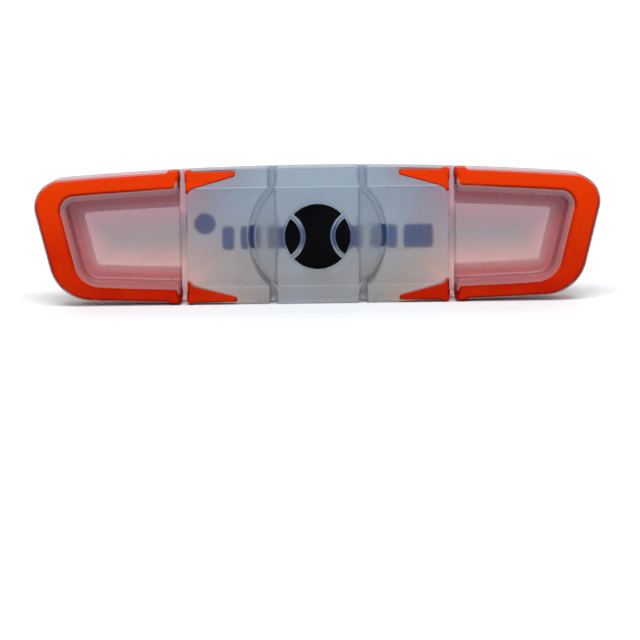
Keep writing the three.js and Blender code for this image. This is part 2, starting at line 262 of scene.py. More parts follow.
def box_flat(x, z, low_x, high_x, low_z, high_z, radius):
    """Rectangle with round corners."""
    off_x = np.abs(x - (low_x + high_x) / 2) - (high_x - low_x) / 2 + radius
    off_z = np.abs(z - (low_z + high_z) / 2) - (high_z - low_z) / 2 + radius
    outside = np.hypot(np.maximum(off_x, 0), np.maximum(off_z, 0))
    return outside + np.minimum(np.maximum(off_x, off_z), 0) - radius


def rounded_corner(flat, x, z, centre, first, second, radius):
    """Flat shape with the corner between two outward normals replaced by an arc."""
    off_x = x - centre[0]
    off_z = z - centre[1]
    past_first = first[0] * off_z - first[1] * off_x
    past_second = second[0] * off_z - second[1] * off_x
    in_corner = (past_first <= 0) & (past_second >= 0)
    return np.where(in_corner, np.hypot(off_x, off_z) - radius, flat)


class StripOutline:
    """Outline of the strip and of everything that runs parallel to it, seen from the front."""

    def __init__(self, sizes):
        self.sizes = sizes
        self.upper_centre = (0.0, UPPER_EDGE - sizes.upper_bow)
        self.lower_centre = (0.0, LOWER_EDGE + sizes.lower_bow)
        slant = sizes.end_slant
        self.normal = (math.cos(slant), -math.sin(slant))
        self.down = (-math.sin(slant), -math.cos(slant))
        x = STRIP_LENGTH / 2 - sizes.upper_corner
        z = self.upper_centre[1] + math.sqrt((sizes.upper_bow - sizes.upper_corner) ** 2 - x**2)
        self.wall = self.normal[0] * x + self.normal[1] * z + sizes.upper_corner

    def upper_edge(self, x):
        """Height of the upper edge at x."""
        return self.upper_centre[1] + np.sqrt(self.sizes.upper_bow**2 - x**2)

    def lower_edge(self, x):
        """Height of the lower edge at x."""
        return self.lower_centre[1] - np.sqrt(self.sizes.lower_bow**2 - x**2)

    def corner_centre(self, bow_centre, bow, wall, radius, side):
        """Centre of the arc between the slanted end and a bowed edge."""
        reach = wall - radius
        along = self.down[1] * bow_centre[1]
        gap = (bow - radius) ** 2 - bow_centre[1] ** 2 - reach**2
        root = math.sqrt(gap + 2 * reach * self.normal[1] * bow_centre[1] + along**2)
        step = along + side * root
        return (self.normal[0] * reach + self.down[0] * step, self.normal[1] * reach + self.down[1] * step)

    def inset(self, x, z, upper, lower, end, upper_radius, lower_radius):
        """Distance outside the outline when it is set in from its edges, for x on the right-hand half."""
        upper_bow = self.sizes.upper_bow - upper
        lower_bow = self.sizes.lower_bow - lower
        wall = self.wall - end
        off_upper = np.hypot(x, z - self.upper_centre[1]) - upper_bow
        off_lower = np.hypot(x, z - self.lower_centre[1]) - lower_bow
        off_end = self.normal[0] * x + self.normal[1] * z - wall
        flat = np.maximum(np.maximum(off_upper, off_lower), off_end)
        high = self.corner_centre(self.upper_centre, upper_bow, wall, upper_radius, -1)
        low = self.corner_centre(self.lower_centre, lower_bow, wall, lower_radius, 1)
        high_normal = (high[0], high[1] - self.upper_centre[1])
        low_normal = (low[0], low[1] - self.lower_centre[1])
        flat = rounded_corner(flat, x, z, high, high_normal, self.normal, upper_radius)
        return rounded_corner(flat, x, z, low, self.normal, low_normal, lower_radius)

    def parallel(self, x, z, amount):
        """Distance outside a line that runs the same amount inside the whole outline."""
        upper_radius = self.sizes.upper_corner - amount
        lower_radius = self.sizes.lower_corner - amount
        return self.inset(x, z, amount, amount, amount, upper_radius, lower_radius)

    def frame_inside(self, x, z, inserts, extra):
        """Distance outside the inner edge of an end frame, moved in by an extra amount."""
        least = 0.5 * MM
        return self.inset(
            x,
            z,
            inserts.rim + inserts.upper_arm + extra,
            inserts.rim + inserts.lower_arm + extra,
            inserts.rim + inserts.end_width + extra,
            max(inserts.inner_upper - extra, least),
            max(inserts.inner_lower - extra, least),
        )


def emblem_flat(x, z, emblem, piece):
    """One piece of the ball: a cap outside a seam, or the middle between the seams."""
    ball = np.hypot(x, z) - EMBLEM_RADIUS
    if piece == "middle":
        seam = np.hypot(np.abs(x) - emblem.seam_centre, z) - emblem.seam_radius
        return np.maximum(ball, emblem.seam_gap / 2 - seam)
    seam = np.hypot(x - SIDES[piece] * emblem.seam_centre, z) - emblem.seam_radius
    return np.maximum(ball, seam + emblem.seam_gap / 2)


def emblem_outline(x, z, emblem):
    """Distance outside the nearest of the three emblem pieces."""
    caps = emblem_flat(np.abs(x), z, emblem, "right")
    return np.minimum(emblem_flat(x, z, emblem, "middle"), caps)


# ------------------------------------------------------------------ skin of a distance function

CORNERS = np.array([(i, j, k) for i in (0, 1) for j in (0, 1) for k in (0, 1)])
CELL_EDGES = [
    (a, b) for a in range(8) for b in range(a + 1, 8) if np.abs(CORNERS[a] - CORNERS[b]).sum() == 1
]


def grid_line(low, high, cell, fine_half=0.0, fine_cell=0.0):
    """Grid coordinates from low to high, closer together within fine_half of zero."""
    if not fine_half:
        return np.linspace(low, high, max(int(round((high - low) / cell)), 2) + 1)
    left = np.linspace(low, -fine_half, max(int(round((-fine_half - low) / cell)), 1) + 1)
    middle = np.linspace(-fine_half, fine_half, max(int(round(2 * fine_half / fine_cell)), 1) + 1)
    right = np.linspace(fine_half, high, max(int(round((high - fine_half) / cell)), 1) + 1)
    return np.concatenate([left[:-1], middle, right[1:]])


def cell_points(values, lines):
    """A point for each grid cell that the surface crosses, and the table of their numbers."""
    shape = tuple(size - 1 for size in values.shape)
    inside = values < 0
    count = np.zeros(shape, dtype=np.int8)
    for i, j, k in CORNERS:
        count += inside[i : i + shape[0], j : j + shape[1], k : k + shape[2]]
    cells = np.argwhere((count > 0) & (count < 8))
    numbers = np.full(shape, -1, dtype=np.int64)
    numbers[tuple(cells.T)] = np.arange(len(cells))
    corner_values = np.stack([values[tuple((cells + corner).T)] for corner in CORNERS], axis=1)
    corner_points = np.stack(
        [
            np.stack([lines[axis][cells[:, axis] + corner[axis]] for axis in range(3)], axis=1)
            for corner in CORNERS
        ],
        axis=1,
    )
    total = np.zeros((len(cells), 3))
    crossings = np.zeros((len(cells), 1))
    for a, b in CELL_EDGES:
        start, end = corner_values[:, a], corner_values[:, b]
        crossed = (start < 0) != (end < 0)
        share = np.where(crossed, start / np.where(crossed, start - end, 1), 0)[:, None]
        points = corner_points[:, a] * (1 - share) + corner_points[:, b] * share
        total += points * crossed[:, None]
        crossings += crossed[:, None]
    return total / crossings, numbers


def cell_faces(values, numbers):
    """Quads between the cells round each grid edge that the surface crosses."""
    inside = values < 0
    quads = []
    for axis in range(3):
        one, two = (axis + 1) % 3, (axis + 2) % 3
        near = inside.take(range(values.shape[axis] - 1), axis=axis)
        far = inside.take(range(1, values.shape[axis]), axis=axis)
        for leaving in (True, False):
            edges = np.argwhere((near & ~far) if leaving else (~near & far))
            step_one, step_two = np.zeros(3, int), np.zeros(3, int)
            step_one[one] = 1
            step_two[two] = 1
            ring = [edges - step_one - step_two, edges - step_two, edges, edges - step_one]
            if not leaving:
                ring.reverse()
            quads.append(np.stack([numbers[tuple(cells.T)] for cells in ring], axis=1))
    return np.concatenate(quads)


def slopes(field, points, step):
    """Gradient of the distance function at each point."""
    result = np.zeros_like(points)
    for axis in range(3):
        shift = np.zeros(3)
        shift[axis] = step
        ahead = field(*(points + shift).T)
        behind = field(*(points - shift).T)
        result[:, axis] = (ahead - behind) / (2 * step)
    return result


def skin(name, field, lines, reach):
    """Mesh of the surface where the distance function is zero, with its exact normals."""
    values = field(*np.meshgrid(*lines, indexing="ij"))
    points, numbers = cell_points(values, lines)
    faces = cell_faces(values, numbers)
    step = 0.01 * MM
    for _ in range(2):
        slope = slopes(field, points, step)
        size = np.maximum((slope**2).sum(axis=1, keepdims=True), 0.1)
        move = -field(*points.T)[:, None] * slope / size
        longest = np.linalg.norm(move, axis=1, keepdims=True)
        points = points + move * np.minimum(1, reach / np.maximum(longest, 1e-12))
    normals = slopes(field, points, step)
    normals /= np.maximum(np.linalg.norm(normals, axis=1, keepdims=True), 1e-9)
    mesh = bpy.data.meshes.new(name)
    mesh.from_pydata(points.tolist(), [], faces.tolist())
    mesh.update()
    mesh.polygons.foreach_set("use_smooth", np.ones(len(mesh.polygons), dtype=bool))
    mesh.normals_split_custom_set_from_vertices(normals.tolist())
    return mesh


def add_piece(mesh, material, slot, *nodes):
    """Puts a finished mesh in the scene in place of its frame nodes."""
    piece = bpy.data.objects.new(mesh.name, mesh)
    bpy.context.scene.collection.objects.link(piece)
    piece.data.materials.append(material)
    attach(piece, "root")
    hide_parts(*nodes)
    return piece


def mesh_points(mesh):
    """Places of a mesh's vertices."""
    points = np.empty(3 * len(mesh.vertices))
    mesh.vertices.foreach_get("co", points)
    return points.reshape(-1, 3)


def add_layers(mesh, layers):
    """Stores a number for each vertex under each layer's name."""
    for name, values in layers.items():
        layer = mesh.attributes.new(name, "FLOAT", "POINT")
        layer.data.foreach_set("value", values)


# Grid spacings.
BODY_CELL = 0.24 * MM
BODY_DEPTH_CELL = 0.16 * MM
DISH_CELL = 0.13 * MM
FRAME_CELL = 0.2 * MM
FIN_CELL = 0.12 * MM
EMBLEM_CELL = 0.11 * MM
MARK_CELL = 0.13 * MM


def cell_size(size):
    return size * 1


# ------------------------------------------------------------------ node groups

# Layers that hold one number for each vertex. The milky mesh has its nearness to the orange pieces, for the
# painted orange glow, and the walls of the space under the flange, which are painted lighter. Buried pieces
# have 0 in the open and more as they sink deeper, for painted light on them. Orange beads have how far a
# shoulder has fallen from the bead's face, where it doesn't face up, for a painted shade.
GLOW_LAYER = "orange_glow"
INNER_LAYER = "inner_wall"
DEPTH_LAYER = "sunk_depth"
SHOULDER_SHADE_LAYER = "bead_shoulder"
GLOW_RANGE = 5 * MM
FIN_GLOW = 0.5
SUNK = 0.3
# Painted shade on the bead shoulders: the fall that darkens fully, the share of the darkening, and the upward
# facing that ends it.
SHOULDER_FALL = 0.045 * MM
SHOULDER_SHADE_SHARE = 0.8
SHOULDER_TURN = 0.15
GREY = (0.5, 0.5, 0.5, 1)


def new_group(name, inputs, *outputs):
    """Empty shader node group, with the sockets inside it by label; a tuple stands for a colour."""
    tree = bpy.data.node_groups.new(name, "ShaderNodeTree")
    for label, value in inputs.items():
        kind = "NodeSocketColor" if isinstance(value, tuple) else "NodeSocketFloat"
        tree.interface.new_socket(label, in_out="INPUT", socket_type=kind).default_value = value
    for label in outputs:
        kind = "NodeSocketColor" if label == "Color" else "NodeSocketFloat"
        tree.interface.new_socket(label, in_out="OUTPUT", socket_type=kind)
    return tree, tree.nodes.new("NodeGroupInput").outputs, tree.nodes.new("NodeGroupOutput").inputs


def feed(tree, socket, value):
    """Links another socket to a socket, or sets its plain value."""
    if isinstance(value, bpy.types.NodeSocket):
        tree.links.new(value, socket)
    else:
        socket.default_value = value


def math_node(tree, operation, first, second=0.0, clamp=False):
    """Result of one sum."""
    node = tree.nodes.new("ShaderNodeMath")
    node.operation = operation
    node.use_clamp = clamp
    feed(tree, node.inputs[0], first)
    feed(tree, node.inputs[1], second)
    return node.outputs[0]


def ramp_node(tree, value, low, high):
    """Rises smoothly from 0 to 1 between low and high."""
    node = tree.nodes.new("ShaderNodeMapRange")
    node.interpolation_type = "SMOOTHSTEP"
    for label, source in (("From Min", low), ("From Max", high), ("Value", value)):
        feed(tree, node.inputs[label], source)
    return node.outputs["Result"]


def mixed(tree, factor, first, second):
    """Colour between two colours."""
    node = tree.nodes.new("ShaderNodeMix")
    node.data_type = "RGBA"
    for label, source in (("Factor", factor), ("A", first), ("B", second)):
        feed(tree, node.inputs[label], source)
    return node.outputs["Result"]


def own_place(tree):
    """Place on the object, in metres."""
    return tree.nodes.new("ShaderNodeTexCoord").outputs["Object"]


def split(tree, vector):
    """The three parts of a vector."""
    node = tree.nodes.new("ShaderNodeSeparateXYZ")
    tree.links.new(vector, node.inputs["Vector"])
    return node.outputs


def layer_node(tree, name):
    """Number that a mesh holds in a layer."""
    node = tree.nodes.new("ShaderNodeAttribute")
    node.attribute_name = name
    return node.outputs["Fac"]


def noise_node(tree, scale, detail, roughness=0.5):
    """Noise over the object."""
    node = tree.nodes.new("ShaderNodeTexNoise")
    tree.links.new(own_place(tree), node.inputs["Vector"])
    for label, source in (("Scale", scale), ("Detail", detail), ("Roughness", roughness)):
        feed(tree, node.inputs[label], source)
    return node.outputs["Fac"]


def moulded_grain_group(name):
    """Fine tooth of a blasted mould, with broader ripple from the pour."""
    inputs = {"Grain Scale": 9000.0, "Ripple Scale": 350.0, "Ripple Share": 0.35}
    inputs.update({"Roughness": 0.3, "Roughness Spread": 0.1})
    tree, given, result = new_group(name, inputs, "Height", "Roughness")
    grain = noise_node(tree, given["Grain Scale"], 2.0)
    ripple = noise_node(tree, given["Ripple Scale"], 3.0, 0.55)
    weighted = math_node(tree, "MULTIPLY", ripple, given["Ripple Share"])
    feed(tree, result["Height"], math_node(tree, "ADD", grain, weighted))
    centred = math_node(tree, "SUBTRACT", ripple, 0.5)
    spread = math_node(tree, "MULTIPLY", centred, given["Roughness Spread"])
    feed(tree, result["Roughness"], math_node(tree, "ADD", given["Roughness"], spread, clamp=True))


def dust_group(name):
    """Lint and specks that cling to silicone."""
    inputs = {"Scale": 900.0, "Speck Size": 0.09, "Rarity": 0.992}
    tree, given, result = new_group(name, inputs, "Mask")
    cells = tree.nodes.new("ShaderNodeTexVoronoi")
    feed(tree, cells.inputs["Vector"], own_place(tree))
    feed(tree, cells.inputs["Scale"], given["Scale"])
    near = ramp_node(tree, cells.outputs["Distance"], given["Speck Size"], 0.0)
    chance = split(tree, cells.outputs["Color"])["X"]
    here = math_node(tree, "GREATER_THAN", chance, given["Rarity"])
    feed(tree, result["Mask"], math_node(tree, "MULTIPLY", near, here))


def edge_group(name):
    """How far a surface point sits on a raised edge."""
    tree, given, result = new_group(name, {"Low": 0.52, "High": 0.60}, "Mask")
    point = tree.nodes.new("ShaderNodeNewGeometry").outputs["Pointiness"]
    feed(tree, result["Mask"], ramp_node(tree, point, given["Low"], given["High"]))


def cloud_group(name):
    """Soft uneven colour of a poured shot: slow clouds between two tints."""
    inputs = {"Scale": 120.0, "Base": GREY, "Tint": (0.6, 0.6, 0.6, 1), "Amount": 0.5}
    tree, given, result = new_group(name, inputs, "Color")
    mask = ramp_node(tree, noise_node(tree, given["Scale"], 3.0, 0.6), 0.35, 0.65)
    share = math_node(tree, "MULTIPLY", mask, given["Amount"])
    feed(tree, result["Color"], mixed(tree, share, given["Base"], given["Tint"]))


def light_gradient_group(name):
    """Painted light from above: a tint beside the wider edge that turns into another towards the lower one.
    """
    inputs = {"Upper": GREY, "Lower": GREY, "Low Height": -8 * MM, "High Height": 8 * MM}
    tree, given, result = new_group(name, inputs, "Color")
    height = split(tree, own_place(tree))["Z"]
    share = ramp_node(tree, height, given["Low Height"], given["High Height"])
    feed(tree, result["Color"], mixed(tree, share, given["Lower"], given["Upper"]))


def painted_glow_group(name):
    """Painted orange glow: light from the orange pieces, scattered into the milky silicone round them."""
    inputs = {"Base": GREY, "Far": (0.6, 0.4, 0.4, 1), "Near": (0.9, 0.3, 0.3, 1)}
    inputs.update({"Hidden": (1.0, 1.0, 1.0, 1), "Lip": (1.0, 0.8, 0.8, 1)})
    inputs.update({"Near Power": 2.7, "Lip Power": 30.0})
    tree, given, result = new_group(name, inputs, "Color")
    glow = layer_node(tree, GLOW_LAYER)
    # Painted glow: the far colour, by nearness to the orange.
    colour = mixed(tree, glow, given["Base"], given["Far"])
    # Then the near glow right beside the orange, and a painted highlight along the thin milky lip.
    for label in ("Near", "Lip"):
        share = math_node(tree, "POWER", glow, given[f"{label} Power"])
        colour = mixed(tree, share, colour, given[label])
    # Painted light: the walls of the space under the flange take the lighter Hidden colour.
    feed(tree, result["Color"], mixed(tree, layer_node(tree, INNER_LAYER), colour, given["Hidden"]))


def crease_highlight_group(name):
    """Painted highlight: thin light line along the creases between the flat and sloped bands, where the edge
    catches light.
    """
    inputs = {"Height": 8 * MM, "Half Width": 0.1 * MM, "Front": -3 * MM}
    inputs.update({"Upper Share": 1.0, "Lower Share": 0.4})
    tree, given, result = new_group(name, inputs, "Mask")
    place = split(tree, own_place(tree))
    off = math_node(tree, "SUBTRACT", math_node(tree, "ABSOLUTE", place["Z"]), given["Height"])
    line = ramp_node(tree, math_node(tree, "ABSOLUTE", off), given["Half Width"], 0.0)
    front = math_node(tree, "LESS_THAN", place["Y"], given["Front"])
    upper = math_node(tree, "GREATER_THAN", place["Z"], 0.0)
    gain = math_node(tree, "SUBTRACT", given["Upper Share"], given["Lower Share"])
    share = math_node(tree, "ADD", math_node(tree, "MULTIPLY", upper, gain), given["Lower Share"])
    lit = math_node(tree, "MULTIPLY", line, front)
    feed(tree, result["Mask"], math_node(tree, "MULTIPLY", lit, share))


def sunk_group(name):
    """Colour under the milky silicone: brighter where it is buried and paler at a thin far edge; on the
    orange pieces this is painted light, standing in for what reaches them through the milky silicone.
    """
    inputs = {"Base": GREY, "Buried": (1, 0.2, 0.25, 1), "Faded": (1, 0.7, 0.7, 1)}
    tree, given, result = new_group(name, inputs, "Color")
    depth = layer_node(tree, DEPTH_LAYER)
    buried = mixed(tree, ramp_node(tree, depth, 0.0, 0.15), given["Base"], given["Buried"])
    feed(tree, result["Color"], mixed(tree, ramp_node(tree, depth, 0.35, 1.0), buried, given["Faded"]))


GROUP_MAKERS = {
    "Sunk Colour": sunk_group,
    "Mould Crease": crease_highlight_group,
    "Settled Tint": light_gradient_group,
    "Colour Bleed": painted_glow_group,
    "Moulded Grain": moulded_grain_group,
    "Clinging Dust": dust_group,
    "Raised Edge": edge_group,
    "Pour Clouds": cloud_group,
}


def place_group(tree, name, **values):
    """Adds a shared group to a material, making it the first time, with its own values or links."""
    if name not in bpy.data.node_groups:
        GROUP_MAKERS[name](name)
    node = tree.nodes.new("ShaderNodeGroup")
    node.node_tree = bpy.data.node_groups[name]
    for label, value in values.items():
        feed(tree, node.inputs[label.replace("_", " ")], value)
    return node.outputs


# ------------------------------------------------------------------ materials

EDGE_WEAR = 0.3
GRAIN_DEPTH = 0.004 * MM
GRAIN_STRENGTH = 0.5
ROUGHNESS_SPREAD = 0.16
CREASE_LIGHT = (0.95, 0.98, 1.0, 1)
CREASE_FRONT = 0.9 * MM - FRONT
LINT = (0.30, 0.29, 0.28, 1)
SILICONE_IOR = 1.41


def new_material(name):
    """Material with its node tree and its shader's sockets."""
    material = bpy.data.materials.new(name)
    material.use_nodes = True
    return material, material.node_tree, material.node_tree.nodes["Principled BSDF"].inputs


def finish(shader, **values):
    """Sets plain values of a shader."""
    for label, value in values.items():
        shader[label.replace("_", " ")].default_value = value


def shade(colour, *factors):
    """Colour scaled by one factor, or by one for each channel, with its alpha."""
    if len(factors) == 1:
        factors = factors * 3
    return tuple(min(channel * factor, 1.0) for channel, factor in zip(colour, factors)) + (1.0,)


def solid(*colours):
    """Colours with their alpha."""
    return [tuple(colour) + (1.0,) for colour in colours]


def silicone(
    name, colour, tint, roughness, dust, lower=None, glow_colours=None, sunk=None, crease=None, shoulder=None
):
    """Material with the grain, clouds, edge and dust that all shots share, and the painted light and shade
    laid over it: a gradient from the wider edge to the lower one, shoulder shade, light on buried parts, an
    orange glow and crease highlights.
    """
    material, tree, shader = new_material(name)
    (base,) = solid(colour)
    # Painted light and shade from above: the base turns from the upper colour to the lower edge's colour.
    if lower:
        base = place_group(tree, "Settled Tint", Upper=base, Lower=lower)["Color"]
    body = place_group(tree, "Pour Clouds", Base=base, Tint=tint, Amount=0.3 if sunk else 0.6)["Color"]
    # Painted shade on the bead shoulders.
    if shoulder:
        fallen = math_node(tree, "MULTIPLY", layer_node(tree, SHOULDER_SHADE_LAYER), SHOULDER_SHADE_SHARE)
        body = mixed(tree, fallen, body, shoulder)
    # Colour of the parts buried under the milky silicone; on the orange pieces it is painted light.
    if sunk:
        body = place_group(tree, "Sunk Colour", Base=body, Buried=sunk[0], Faded=sunk[1])["Color"]
    # Painted orange glow, shaded beside the wider edge.
    if glow_colours:
        far = place_group(tree, "Settled Tint", Upper=glow_colours[0], Lower=glow_colours[1])["Color"]
        body = place_group(tree, "Colour Bleed", Base=body, Far=far, Near=glow_colours[2], Lip=glow_colours[3])["Color"]
    # Painted highlight along the creases between the bands.
    if crease:
        line = place_group(tree, "Mould Crease", Height=crease, Front=CREASE_FRONT)
        body = mixed(tree, line["Mask"], body, CREASE_LIGHT)
    for group, share, over in (("Raised Edge", EDGE_WEAR, tint), ("Clinging Dust", dust, LINT)):
        mask = place_group(tree, group)["Mask"]
        body = mixed(tree, math_node(tree, "MULTIPLY", mask, share), body, over)
    feed(tree, shader["Base Color"], body)
    grain = place_group(tree, "Moulded Grain", Roughness=roughness, Roughness_Spread=ROUGHNESS_SPREAD)
    feed(tree, shader["Roughness"], grain["Roughness"])
    relief = tree.nodes.new("ShaderNodeBump")
    finish(relief.inputs, Distance=GRAIN_DEPTH, Strength=GRAIN_STRENGTH)
    feed(tree, relief.inputs["Height"], grain["Height"])
    feed(tree, shader["Normal"], relief.outputs["Normal"])
    finish(shader, IOR=SILICONE_IOR)
    return material, shader


def milky_material(colours, crease):
    """Clear silicone clouded with a little white pigment, with painted light: cool above and warm below, a
    painted orange glow where orange shines through it, and a painted highlight along the creases.
    """
    lower, *glow_colours = solid(colours.settled, colours.shaded_glow, colours.glow, colours.near_glow, colours.lip)
    tint = shade(colours.milky, 1.1)
    material, shader = silicone("Milky Silicone", colours.milky, tint, 0.30, 0.5, lower, glow_colours, crease=crease)
    finish(shader, Transmission_Weight=0.84, Specular_IOR_Level=0.35)
    finish(shader, Coat_Weight=0.12, Coat_Roughness=0.12, Coat_IOR=SILICONE_IOR)
    return material


def orange_material(colours):
    """Opaque orange silicone with painted shade: darker towards the lower edge, as light falls from above."""
    tint = shade(colours.orange, 1.0, 1.3, 2.0)
    lower, shoulder, *sunk = solid(colours.deep, colours.shoulder, colours.buried, colours.thin_edge_glow)
    material, shader = silicone(
        "Orange Silicone", colours.orange, tint, 0.45, 0.3, lower, sunk=sunk, shoulder=shoulder
    )
    finish(shader, Specular_IOR_Level=0.02, Coat_Weight=0.02, Coat_Roughness=0.25, Coat_IOR=SILICONE_IOR)
    return material


def black_material(colours):
    """Satin black silicone of the emblem."""
    material, shader = silicone("Black Silicone", colours.black, (0.004, 0.004, 0.005, 1), 0.55, 0.1)
    finish(shader, Specular_IOR_Level=0.02)
    return material


def ink_material(colours):
    """Blue-black silicone of the marks on the back, bluer where it is seen through the body."""
    sunk = solid(colours.sunk_ink, colours.sunk_ink)
    tint = shade(colours.ink, 1.4)
    material, shader = silicone("Blue Black Silicone", colours.ink, tint, 0.5, 0.15, sunk=sunk)
    finish(shader, Specular_IOR_Level=0.2)
    return material


# ------------------------------------------------------------------ fields of the pieces

# How far a buried piece reaches past the milky skin, so that the two skins never coincide.
PROUD = 0.03 * MM
# Room past a frame node's box for the tabs that stand on the long edges.
TAB_MARGIN = 0.5 * MM


def strip_fields(strip):
    """Outline of the strip and its sloped front, as functions of place and front level."""
    outline = StripOutline(strip)
    lean = math.atan2(strip.edge_drop, UPPER_EDGE - strip.flat_half)

    def faceted(x, level, z, front):
        side = outline.parallel(np.abs(x), z, 0.0)
        slope = (np.abs(z) - strip.flat_half) * math.sin(lean) + (level - front) * math.cos(lean)
        face = round_max(level - front, slope, strip.facet_round)
        return round_max(side, face, strip.front_round)

    return outline, faceted


def body_field(strip, inserts, emblem):
    """The whole milky strip."""
    outline, faceted = strip_fields(strip)
    mid = FRONT - strip.plate_step
    seat = INNER_GROOVE - GROOVE_HALF
    slot = strip.disc_radius + strip.disc_slot
    mouth_slope = math.atan2(strip.mouth_depth, strip.mouth_half)

    def groove_mouths(x, z):
        nearest = np.minimum(np.abs(x - INNER_GROOVE), np.abs(x - OUTER_GROOVE))
        above = outline.upper_edge(x) - z
        below = z - outline.lower_edge(x)
        depth = np.minimum(above, below)
        return (depth - strip.mouth_depth) * math.cos(mouth_slope) + nearest * math.sin(mouth_slope)

    def field(x, y, z):
        level = -y
        x = np.abs(x)
        radius = np.hypot(x, z)
        body = faceted(x, level, z, mid)
        below = GROOVE_FLOOR - level
        outer = round_max(np.abs(x - OUTER_GROOVE) - GROOVE_HALF, below, strip.groove_round)
        body = cut(body, outer, strip.groove_round)
        around = np.minimum(x - INNER_GROOVE - GROOVE_HALF, radius - slot)
        floor_round = np.where(radius < strip.disc_radius, strip.chamber_round, strip.groove_round)
        channel = round_max(np.maximum(seat - x, around), below, floor_round)
        body = cut(body, channel, strip.groove_round)
        window = outline.frame_inside(x, z, inserts, inserts.lip)
        window = np.maximum(window, OUTER_GROOVE - x)
        window = round_max(window, mid - inserts.window_depth - level, inserts.window_fillet)
        body = cut(body, window, strip.small_round)
        flat = round_min(x - seat, radius - strip.disc_radius, strip.flange_fillet)
        plate = round_max(flat, strip.flange_under - level, strip.groove_round)
        plate = round_max(plate, faceted(x, level, z, FRONT), strip.groove_round)
        filleted = np.maximum(round_min(body, plate, strip.chamber_round), outline.parallel(x, z, 0.0))
        body = np.where(level < FRONT / 2, filleted, np.minimum(body, plate))
        dish = round_max(radius - strip.dish_radius, DISH_FLOOR - level, strip.dish_round)
        body = cut(body, dish, strip.dish_round)
        ridge = np.abs(emblem_outline(x, z, emblem) - strip.emblem_lip / 2) - strip.emblem_lip / 2
        ridge = slab(ridge, level, 0.0, DISH_FLOOR + strip.lip_height, strip.small_round)
        body = round_min(body, ridge, strip.small_round)
        body = cut(body, np.maximum(groove_mouths(x, z), below), strip.small_round)
        return round_max(body, BACK - level, strip.back_round)

    return field


def tab_field(place, outline, edge, low_x, high_x, floor, top, strip, inserts):
    """Small tab that runs from a bead out past a long edge."""
    x, level, z = place
    side = outline.parallel(x, z, -PROUD)
    inward = (outline.upper_edge(x) - z) if edge > 0 else (z - outline.lower_edge(x))
    reach = np.maximum(inward - inserts.tab_root, side)
    across = np.maximum(low_x - x, x - high_x)
    return slab(np.maximum(reach, across), level, floor, top, 1.5 * strip.small_round)


def bead_face(z, level, inserts):
    """Front of a bead: flat in the middle, and leaning outwards beside the long edges."""
    flat = level - ORANGE_TOP
    lean = (np.abs(z) - inserts.lean_start) * math.sin(inserts.bead_lean) + flat * math.cos(inserts.bead_lean)
    return round_max(flat, lean, inserts.lean_round)


def end_frame_field(side, strip, inserts):
    """One orange end frame: bead, hidden flange and two tabs."""
    outline, _ = strip_fields(strip)
    start = GROOVE_OUTSIDE - PROUD
    tab_top = FRONT - strip.plate_step - strip.edge_drop + inserts.tab_rise
    flange_top = ORANGE_FLOOR + inserts.flange_thickness

    def field(x, y, z):
        level = -y
        x = x * side
        rim = outline.parallel(x, z, inserts.rim)
        bead = round_max(rim, bead_face(z, level, inserts), inserts.crown)
        bead = round_max(bead, -outline.frame_inside(x, z, inserts, 0.0), inserts.inner_crown)
        bead = round_max(bead, start - x, inserts.bead_end)
        for edge in EDGES.values():
            end = start + inserts.frame_tab
            tab = tab_field((x, level, z), outline, edge, start, end, ORANGE_FLOOR, tab_top, strip, inserts)
            bead = round_min(bead, tab, inserts.tab_flare)
        wide = np.maximum(rim, -outline.frame_inside(x, z, inserts, inserts.flange_reach))
        wide = np.maximum(wide, start - x)
        flange = slab(wide, level, ORANGE_FLOOR, flange_top, 2 * strip.small_round)
        return np.minimum(np.maximum(bead, ORANGE_FLOOR - level), flange)

    return field


def fin_field(side, edge, strip, inserts):
    """One orange fin: a wedge with a round tip, a flared base and a tab beside its groove."""
    outline, _ = strip_fields(strip)
    start = GROOVE_INSIDE + PROUD
    tab_top = FRONT - strip.plate_step - strip.edge_drop + inserts.tab_rise
    edge_height = outline.upper_edge if edge > 0 else outline.lower_edge
    outer_z = abs(edge_height(start)) - inserts.rim
    tip_x = FIN_TIP + inserts.fin_tip
    tip_z = abs(edge_height(tip_x)) - inserts.rim - inserts.fin_droop - inserts.fin_tip
    away = Vector((start - tip_x, outer_z - inserts.fin_wedge - tip_z))
    turn = math.atan2(away[1], away[0]) - math.acos(inserts.fin_tip / away.length)
    lower = (math.cos(turn), math.sin(turn))
    rise = math.atan2(outer_z - tip_z - inserts.fin_tip, start - tip_x)
    upper = (-math.sin(rise), math.cos(rise))

    def wedge_outline(x, z):
        off_upper = (x - tip_x) * upper[0] + (z - tip_z) * upper[1] - inserts.fin_tip
        off_lower = (x - tip_x) * lower[0] + (z - tip_z) * lower[1] - inserts.fin_tip
        centre, first, second = (-tip_x, tip_z), (-upper[0], upper[1]), (-lower[0], lower[1])
        wedge = np.maximum(off_upper, off_lower)
        wedge = rounded_corner(wedge, -x, z, centre, first, second, inserts.fin_tip)
        base = np.maximum(start - inserts.fin_tab / 2 - x, outer_z - inserts.fin_base - z)
        return np.maximum(round_min(wedge, base, inserts.fin_flare), off_upper)

    def field(x, y, z):
        level = -y
        x = x * side
        bead = round_max(wedge_outline(x, z * edge), bead_face(z, level, inserts), inserts.fin_crown)
        bead = round_max(bead, x - start, inserts.bead_end / 2)
        low = start - inserts.fin_tab
        tab = tab_field((x, level, z), outline, edge, low, start, FIN_FLOOR, tab_top, strip, inserts)
        bead = round_min(bead, tab, inserts.tab_flare)
        return np.maximum(bead, FIN_FLOOR - level)

    return field


